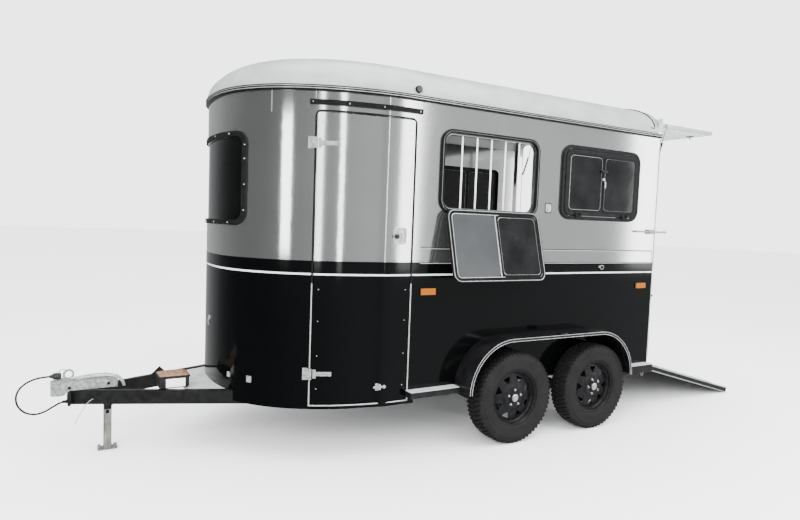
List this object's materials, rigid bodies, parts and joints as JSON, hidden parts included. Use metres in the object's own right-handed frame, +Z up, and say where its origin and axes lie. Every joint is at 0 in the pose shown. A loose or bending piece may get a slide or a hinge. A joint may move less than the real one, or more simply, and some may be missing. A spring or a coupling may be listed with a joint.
{
  "type": "horse trailer",
  "caption": "Horse trailer with a rounded nose, side door, drop-down barred windows, lowered rear ramp, raised rear canopy, tandem wheels, A-frame drawbar and prop stand.",
  "frame": {"origin": "on the floor under the middle of the trailer's box, ramp down, without the loose lead", "axes": "+X to the trailer's left side, +Y to its rear, +Z up"},
  "size_m": [2.28, 6.2135, 2.781],
  "materials": {
    "chassis_paint": "satin black",
    "plate_grey": "satin grey",
    "zinc": "bright zinc",
    "battery_plastic": "matte",
    "floor_mat": "ribbed rubber",
    "body_panel": "gloss silver grey over gloss black",
    "roof_shell": "moulded pale shell",
    "vent_plastic": "matte",
    "rail_trim": "black with bright edges",
    "window_rubber": "black rubber",
    "dark_glass": "dark tinted",
    "window_frame": "satin dark grey",
    "window_sash": "dark frame and panes",
    "tyre": "black rubber",
    "wheel_steel": "satin black",
    "fender_black": "gloss black",
    "portal_panel": "pale shell and posts",
    "ramp_board": "grey grip surface",
    "canopy_shell": "pale moulded panel",
    "strut_black": "black",
    "rod_steel": "polished",
    "divider_board": "padded board",
    "bar_tube": "black tube",
    "amber_lens": "amber",
    "red_lens": "red",
    "lead_rubber": "black",
    "plug_plastic": "black"
  },
  "bodies": {
    "body": {"axles": "chassis_paint", "battery_box": "battery_plastic", "brake_lever": "zinc", "breast_bars": "bar_tube", "chassis_rails": "chassis_paint", "coupling": "zinc", "coupling_handle": "zinc", "crossmembers": "chassis_paint", "divider": "divider_board", "door_gutter": "window_rubber", "door_hinges": "zinc", "drawbar_bracket": "chassis_paint", "drawbar_nose": "chassis_paint", "drawbar_plate": "plate_grey", "drip_rail": "rail_trim", "electric_lead": "lead_rubber", "floor": "floor_mat", "lead_plug": "plug_plastic", "left_drawbar_beam": "chassis_paint", "left_fender": "fender_black", "left_front_window_frame": "window_frame", "left_rear_window_frame": "window_frame", "left_wall": "body_panel", "marker_lamps": "amber_lens", "nose_wall": "body_panel", "nose_window": "dark_glass", "nose_window_frame": "window_rubber", "ramp_latches": "zinc", "rear_portal": "portal_panel", "right_drawbar_beam": "chassis_paint", "right_fender": "fender_black", "right_front_window_frame": "window_frame", "right_rear_window_frame": "window_frame", "right_wall": "body_panel", "roof": "roof_shell", "roof_vent": "vent_plastic", "side_steps": "rail_trim", "stand_bracket": "zinc", "tail_lamps": "red_lens"},
    "left_front_wheel_set": {"left_front_tyre": "tyre", "left_front_wheel": "wheel_steel"},
    "left_rear_wheel_set": {"left_rear_tyre": "tyre", "left_rear_wheel": "wheel_steel"},
    "right_front_wheel_set": {"right_front_tyre": "tyre", "right_front_wheel": "wheel_steel"},
    "right_rear_wheel_set": {"right_rear_tyre": "tyre", "right_rear_wheel": "wheel_steel"},
    "groom_door_leaf": {"groom_door": "body_panel"},
    "left_front_window": {"left_front_sash": "window_sash"},
    "left_rear_window": {"left_rear_sash": "window_sash"},
    "right_front_window": {"right_front_sash": "window_sash"},
    "right_rear_window": {"right_rear_sash": "window_sash"},
    "ramp_leaf": {"ramp": "ramp_board"},
    "canopy_leaf": {"canopy": "canopy_shell"},
    "left_strut_tube": {"left_strut_cylinder": "strut_black"},
    "left_strut_plunger": {"left_strut_rod": "rod_steel"},
    "right_strut_tube": {"right_strut_cylinder": "strut_black"},
    "right_strut_plunger": {"right_strut_rod": "rod_steel"},
    "stand": {"stand_leg": "zinc"}
  },
  "joints": [
    {"name": "left_front_wheel_spin", "type": "hinge", "parent": "body", "child": "left_front_wheel_set", "pos_m": [1.022, -0.0058, 0.345], "axis": [1, 0, 0], "continuous": true},
    {"name": "left_rear_wheel_spin", "type": "hinge", "parent": "body", "child": "left_rear_wheel_set", "pos_m": [1.022, 0.8232, 0.345], "axis": [1, 0, 0], "continuous": true},
    {"name": "right_front_wheel_spin", "type": "hinge", "parent": "body", "child": "right_front_wheel_set", "pos_m": [-1.022, -0.0058, 0.345], "axis": [1, 0, 0], "continuous": true},
    {"name": "right_rear_wheel_spin", "type": "hinge", "parent": "body", "child": "right_rear_wheel_set", "pos_m": [-1.022, 0.8232, 0.345], "axis": [1, 0, 0], "continuous": true},
    {"name": "groom_door_hinge", "type": "hinge", "parent": "body", "child": "groom_door_leaf", "pos_m": [0.81566, -1.52611, 1.3525], "axis": [0, 0, -1], "range_deg": [0, 110]},
    {"name": "left_front_sash_hinge", "type": "hinge", "parent": "body", "child": "left_front_window", "pos_m": [0.969, -0.2073, 1.723], "axis": [0, 1, 0], "range_deg": [-165, 0]},
    {"name": "left_rear_sash_hinge", "type": "hinge", "parent": "body", "child": "left_rear_window", "pos_m": [0.969, 0.9317, 1.723], "axis": [0, 1, 0], "range_deg": [0, 165]},
    {"name": "right_front_sash_hinge", "type": "hinge", "parent": "body", "child": "right_front_window", "pos_m": [-0.969, -0.2073, 1.723], "axis": [0, -1, 0], "range_deg": [0, 165]},
    {"name": "right_rear_sash_hinge", "type": "hinge", "parent": "body", "child": "right_rear_window", "pos_m": [-0.969, 0.9317, 1.723], "axis": [0, -1, 0], "range_deg": [0, 165]},
    {"name": "ramp_hinge", "type": "hinge", "parent": "body", "child": "ramp_leaf", "pos_m": [0, 1.6937, 0.375], "axis": [1, 0, 0], "range_deg": [0, 105.64]},
    {"name": "canopy_hinge", "type": "hinge", "parent": "body", "child": "canopy_leaf", "pos_m": [0, 1.6707, 2.58], "axis": [1, 0, 0], "range_deg": [-90, 0]},
    {"name": "left_strut_swing", "type": "hinge", "parent": "body", "child": "left_strut_tube", "pos_m": [0.885, 1.6707, 2.225], "axis": [1, 0, 0], "range_deg": [0, 18.98]},
    {"name": "left_strut_stroke", "type": "slide", "parent": "left_strut_tube", "child": "left_strut_plunger", "axis": [0, 0.3202, 0.9473], "range_m": [-0.14073, 0]},
    {"name": "right_strut_swing", "type": "hinge", "parent": "body", "child": "right_strut_tube", "pos_m": [-0.885, 1.6707, 2.225], "axis": [1, 0, 0], "range_deg": [0, 18.98]},
    {"name": "right_strut_stroke", "type": "slide", "parent": "right_strut_tube", "child": "right_strut_plunger", "axis": [0, 0.3202, 0.9473], "range_m": [-0.14073, 0]},
    {"name": "stand_fold", "type": "hinge", "parent": "body", "child": "stand", "pos_m": [0, -2.6713, 0.295], "axis": [1, 0, 0], "range_deg": [0, 90]}
  ],
  "couplings": [
    {"joint": "left_strut_swing", "follows": "canopy_hinge", "ratio": -0.20752},
    {"joint": "left_strut_stroke", "follows": "canopy_hinge", "m_per_rad": 0.088957},
    {"joint": "right_strut_swing", "follows": "canopy_hinge", "ratio": -0.20752},
    {"joint": "right_strut_stroke", "follows": "canopy_hinge", "m_per_rad": 0.088957}
  ]
}
